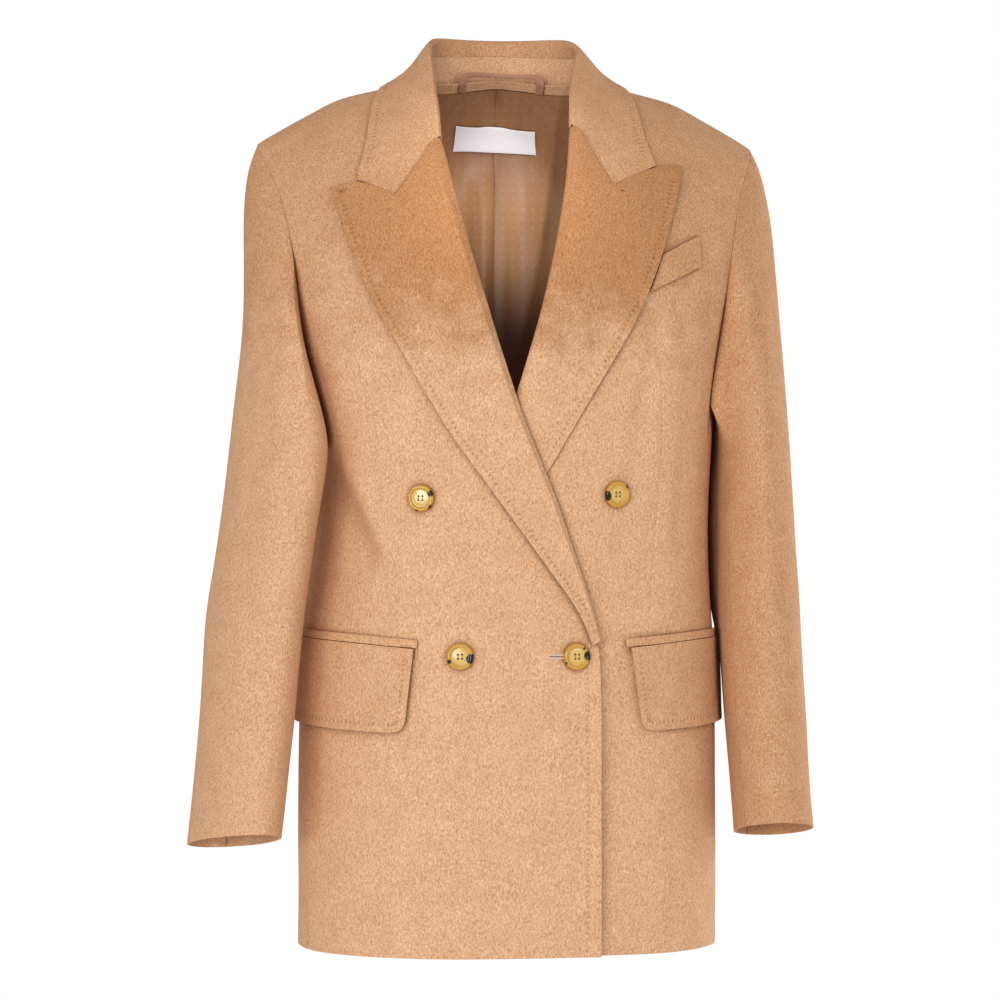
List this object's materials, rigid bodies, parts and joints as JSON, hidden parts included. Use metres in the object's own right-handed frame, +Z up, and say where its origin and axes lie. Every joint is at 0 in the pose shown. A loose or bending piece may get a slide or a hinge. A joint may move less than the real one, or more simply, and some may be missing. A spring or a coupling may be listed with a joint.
{
  "type": "double breasted blazer",
  "caption": "Hollow worn double breasted blazer of wool with peak lapels, flap pockets, a chest welt, horn buttons and two-piece sleeves.",
  "frame": {"origin": "middle of the neck base, level with the inner ends of the shoulder seams, where the wearer holds the garment up", "axes": "+X towards the wearer's left, +Y towards the wearer's back, +Z up"},
  "size_m": [0.5532, 0.2599, 0.8209],
  "materials": {
    "camel_wool": "napped camel-coloured wool with a faint melange",
    "lining_satin": "smooth brown satin",
    "label_satin": "bare pale satin",
    "horn_button": "polished horn effect, amber with dark brown"
  },
  "bodies": {
    "root": {"left_front": "camel_wool", "right_front": "camel_wool", "left_side_panel": "camel_wool", "right_side_panel": "camel_wool", "left_back": "camel_wool", "right_back": "camel_wool", "left_lapel": "camel_wool", "right_lapel": "camel_wool", "collar_leaf": "camel_wool", "collar_stand": "camel_wool", "back_neck_facing": "camel_wool", "left_top_sleeve": "camel_wool", "right_top_sleeve": "camel_wool", "left_under_sleeve": "camel_wool", "right_under_sleeve": "camel_wool", "chest_welt": "camel_wool", "left_jetting": "camel_wool", "right_jetting": "camel_wool", "left_flap": "camel_wool", "right_flap": "camel_wool", "left_back_lining": "lining_satin", "right_back_lining": "lining_satin", "hanger_loop": "lining_satin", "neck_label": "label_satin", "button_upper_right": "horn_button", "button_upper_left": "horn_button", "button_lower_right": "horn_button", "button_lower_left": "horn_button"}
  },
  "joints": []
}
